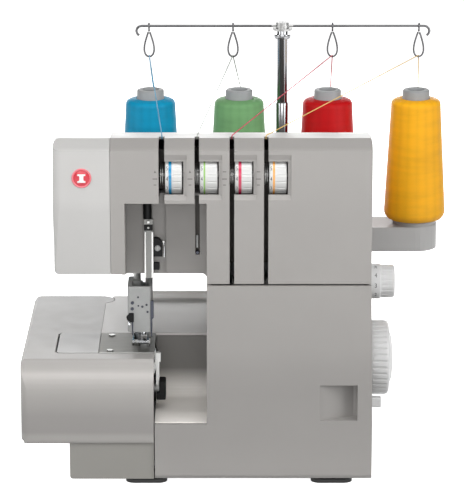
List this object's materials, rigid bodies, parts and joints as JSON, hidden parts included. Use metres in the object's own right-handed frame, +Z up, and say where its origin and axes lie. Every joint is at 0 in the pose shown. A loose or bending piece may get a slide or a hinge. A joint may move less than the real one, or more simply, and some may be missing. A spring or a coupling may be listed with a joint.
{
  "type": "overlock sewing machine",
  "caption": "Domestic overlock sewing machine with a telescopic thread stand, loaded thread cones, swing cloth plate and a folding looper cover.",
  "frame": {"origin": "middle of the footprint's box, on the surface it stands on", "axes": "+X towards the handwheel, +Y towards the rear, +Z up"},
  "size_m": [0.4028, 0.303, 0.3796],
  "materials": {
    "body_plastic": "satin moulded, warm light grey",
    "light_plastic": "satin moulded, pale grey",
    "stand_plastic": "satin moulded, grey",
    "dark_plastic": "matt black",
    "shadow_plastic": "matt moulded, deep grey",
    "dial_white": "gloss white",
    "cast_frame": "as cast",
    "steel": "ground",
    "chrome": "polished",
    "bronze": "sintered",
    "rubber": "matt",
    "lens": "clear",
    "thread_blue": "wound polyester thread",
    "thread_green": "wound polyester thread",
    "thread_red": "wound polyester thread",
    "thread_yellow": "wound polyester thread",
    "core_grey": "matt moulded"
  },
  "bodies": {
    "machine": {"base_pan": "dark_plastic", "rubber_feet": "rubber", "main_frame": "cast_frame", "rear_cover": "body_plastic", "face_cover": "light_plastic", "upper_front_cover": "body_plastic", "slot_liner": "dark_plastic", "base_cover_left": "body_plastic", "bed_cover": "body_plastic", "waste_chute": "shadow_plastic", "needle_plate": "steel", "lower_knife": "steel", "needle_bar_guard": "chrome", "work_lamp": "lens", "tension_posts": "chrome", "shaft_bushes": "bronze", "motor": "dark_plastic", "drive_belt": "rubber", "cover_hinge_rod": "steel", "power_inlet": "dark_plastic", "cover_screws": "steel", "spool_stand": "stand_plastic", "cone_holders": "core_grey", "cone_cores": "core_grey", "cone_blue": "thread_blue", "cone_green": "thread_green", "cone_red": "thread_red", "cone_yellow": "thread_yellow", "threads": "thread_blue", "mast_lower_tube": "chrome", "presser_spring": "steel"},
    "drive": {"main_shaft": "steel", "handwheel": "light_plastic"},
    "motor_drive": {"motor_pulley": "steel"},
    "needle_rocker": {"needle_rocker": "steel"},
    "needle_bar": {"needle_bar": "chrome", "needle_clamp": "steel"},
    "presser_bar": {"presser_bar": "chrome", "presser_bracket": "steel"},
    "presser_foot": {"presser_foot": "chrome"},
    "presser_lever": {"presser_lever": "dark_plastic"},
    "knife_arm": {"knife_arm": "steel"},
    "upper_knife": {"upper_knife": "steel"},
    "upper_looper": {"upper_looper": "chrome"},
    "lower_looper": {"lower_looper": "chrome"},
    "feed_dogs": {"feed_dogs": "steel"},
    "tension_dial_1": {"tension_dial_1": "dial_white"},
    "tension_dial_2": {"tension_dial_2": "dial_white"},
    "tension_dial_3": {"tension_dial_3": "dial_white"},
    "tension_dial_4": {"tension_dial_4": "dial_white"},
    "stitch_length_dial": {"stitch_length_dial": "light_plastic"},
    "feed_ratio_lever": {"feed_ratio_lever": "light_plastic"},
    "power_switch": {"power_switch": "dark_plastic"},
    "cover_slide": {"hinge_sleeves": "dark_plastic"},
    "looper_cover": {"looper_cover": "body_plastic"},
    "cloth_plate": {"cloth_plate": "body_plastic", "needle_plate_extension": "shadow_plastic"},
    "mast_upper": {"mast_upper_tube": "chrome"},
    "guide_bar": {"guide_bar": "chrome", "thread_eyelets": "chrome"}
  },
  "joints": [
    {"name": "main_shaft_spin", "type": "hinge", "parent": "machine", "child": "drive", "pos_m": [-0.00875, -0.0385, 0.0885], "axis": [1, 0, 0], "continuous": true},
    {"name": "motor_spin", "type": "hinge", "parent": "machine", "child": "motor_drive", "pos_m": [-0.00875, 0.0165, 0.05], "axis": [1, 0, 0], "continuous": true},
    {"name": "needle_rocker_swing", "type": "hinge", "parent": "machine", "child": "needle_rocker", "pos_m": [-0.07875, -0.0205, 0.281], "axis": [1, 0, 0], "range_deg": [0, 22.8]},
    {"name": "needle_bar_slide", "type": "slide", "parent": "machine", "child": "needle_bar", "axis": [0, 0, 1], "range_m": [-0.0275, 0]},
    {"name": "presser_lever_lift", "type": "hinge", "parent": "machine", "child": "presser_lever", "pos_m": [-0.09675, 0.0545, 0.213], "axis": [1, 0, 0], "range_deg": [0, 50]},
    {"name": "presser_bar_slide", "type": "slide", "parent": "machine", "child": "presser_bar", "axis": [0, 0, 1], "range_m": [0, 0.0055], "deforming": ["presser_spring"]},
    {"name": "presser_foot_rock", "type": "hinge", "parent": "presser_bar", "child": "presser_foot", "pos_m": [-0.09375, -0.0745, 0.1294], "axis": [1, 0, 0], "range_deg": [-5, 5]},
    {"name": "knife_drive_swing", "type": "hinge", "parent": "machine", "child": "knife_arm", "pos_m": [-0.08275, -0.0445, 0.064], "axis": [1, 0, 0], "range_deg": [0, 8]},
    {"name": "knife_disengage", "type": "hinge", "parent": "knife_arm", "child": "upper_knife", "pos_m": [-0.07875, -0.1075, 0.08], "axis": [1, 0, 0], "range_deg": [0, 90]},
    {"name": "upper_looper_swing", "type": "hinge", "parent": "machine", "child": "upper_looper", "pos_m": [-0.10875, -0.0885, 0.036], "axis": [0, 1, 0], "range_deg": [-12, 5]},
    {"name": "lower_looper_swing", "type": "hinge", "parent": "machine", "child": "lower_looper", "pos_m": [-0.11175, -0.0885, 0.02], "axis": [0, 1, 0], "range_deg": [-14, 3]},
    {"name": "feed_dog_stroke", "type": "slide", "parent": "machine", "child": "feed_dogs", "axis": [0, 1, 0], "range_m": [-0.003, 0.003]},
    {"name": "tension_dial_1_turn", "type": "hinge", "parent": "machine", "child": "tension_dial_1", "pos_m": [-0.06075, -0.1315, 0.2882], "axis": [1, 0, 0], "range_deg": [-150, 150]},
    {"name": "tension_dial_2_turn", "type": "hinge", "parent": "machine", "child": "tension_dial_2", "pos_m": [-0.02975, -0.1315, 0.2882], "axis": [1, 0, 0], "range_deg": [-150, 150]},
    {"name": "tension_dial_3_turn", "type": "hinge", "parent": "machine", "child": "tension_dial_3", "pos_m": [0.00125, -0.1315, 0.2882], "axis": [1, 0, 0], "range_deg": [-150, 150]},
    {"name": "tension_dial_4_turn", "type": "hinge", "parent": "machine", "child": "tension_dial_4", "pos_m": [0.03225, -0.1315, 0.2882], "axis": [1, 0, 0], "range_deg": [-150, 150]},
    {"name": "stitch_length_turn", "type": "hinge", "parent": "machine", "child": "stitch_length_dial", "pos_m": [0.13125, -0.0435, 0.1642], "axis": [1, 0, 0], "range_deg": [-120, 150]},
    {"name": "feed_ratio_slide", "type": "slide", "parent": "machine", "child": "feed_ratio_lever", "axis": [0, 0, 1], "range_m": [-0.0072, 0.0078]},
    {"name": "power_switch_rock", "type": "hinge", "parent": "machine", "child": "power_switch", "pos_m": [0.11585, 0.0275, 0.065], "axis": [0, 0, 1], "range_deg": [-14, 0]},
    {"name": "looper_cover_slide", "type": "slide", "parent": "machine", "child": "cover_slide", "axis": [1, 0, 0], "range_m": [0, 0.005]},
    {"name": "looper_cover_open", "type": "hinge", "parent": "cover_slide", "child": "looper_cover", "pos_m": [0.02125, -0.1445, 0.01], "axis": [1, 0, 0], "range_deg": [0, 85]},
    {"name": "cloth_plate_swing", "type": "hinge", "parent": "machine", "child": "cloth_plate", "pos_m": [-0.13575, 0.0555, 0.11], "axis": [0, 0, 1], "range_deg": [-44, 0]},
    {"name": "mast_telescope", "type": "slide", "parent": "machine", "child": "mast_upper", "axis": [0, 0, 1], "range_m": [-0.028, 0], "deforming": ["threads"]},
    {"name": "guide_bar_swivel", "type": "hinge", "parent": "mast_upper", "child": "guide_bar", "pos_m": [0.04025, 0.1215, 0.375], "axis": [0, 0, 1], "range_deg": [-45, 45], "deforming": ["threads"]}
  ],
  "couplings": [
    {"joint": "motor_spin", "follows": "main_shaft_spin", "ratio": 3},
    {"joint": "needle_bar_slide", "follows": "needle_rocker_swing", "m_per_rad": -0.0689},
    {"joint": "presser_bar_slide", "follows": "presser_lever_lift", "m_per_rad": 0.0063}
  ]
}
